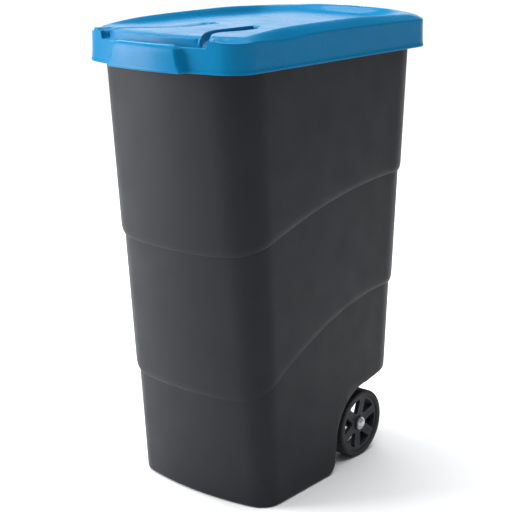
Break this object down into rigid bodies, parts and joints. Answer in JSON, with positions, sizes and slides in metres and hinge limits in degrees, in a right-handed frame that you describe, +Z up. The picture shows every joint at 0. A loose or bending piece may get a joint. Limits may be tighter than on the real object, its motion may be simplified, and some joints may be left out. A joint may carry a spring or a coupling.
{
  "type": "wheelie bin",
  "caption": "Tall household waste bin: stepped tapering plastic tub, dished hinged lid with a front grip, and two spoked rear wheels on a steel axle.",
  "frame": {"origin": "on the floor under the middle of the bounding box", "axes": "+Z up; the lid's grip faces -Y; hinge, pull bar and wheels at +Y; X = 0 is the plane of symmetry"},
  "size_m": [0.367, 0.662, 0.89],
  "materials": {
    "tub_plastic": "fine moulded grain, satin",
    "lid_plastic": "moulded, semi-gloss",
    "pin_plastic": "moulded, satin",
    "wheel_plastic": "moulded, satin",
    "tyre_rubber": "black rubber with fine grooves",
    "zinc_steel": "zinc plated",
    "cap_steel": "pressed, dull zinc"
  },
  "bodies": {
    "tub": {"tub": "tub_plastic", "hinge_pin_left": "pin_plastic", "hinge_pin_right": "pin_plastic", "axle": "zinc_steel", "inner_washer_left": "zinc_steel", "inner_washer_right": "zinc_steel", "outer_washer_left": "zinc_steel", "outer_washer_right": "zinc_steel", "axle_cap_left": "cap_steel", "axle_cap_right": "cap_steel"},
    "lid": {"lid": "lid_plastic"},
    "wheel_left": {"wheel_left": "wheel_plastic", "tyre_left": "tyre_rubber"},
    "wheel_right": {"wheel_right": "wheel_plastic", "tyre_right": "tyre_rubber"}
  },
  "joints": [
    {"name": "lid_hinge", "type": "hinge", "parent": "tub", "child": "lid", "pos_m": [0, 0.317, 0.803], "axis": [-1, 0, 0], "range_deg": [0, 225]},
    {"name": "wheel_left_spin", "type": "hinge", "parent": "tub", "child": "wheel_left", "pos_m": [-0.129, 0.133, 0.069], "axis": [1, 0, 0], "continuous": true},
    {"name": "wheel_right_spin", "type": "hinge", "parent": "tub", "child": "wheel_right", "pos_m": [0.129, 0.133, 0.069], "axis": [1, 0, 0], "continuous": true}
  ]
}
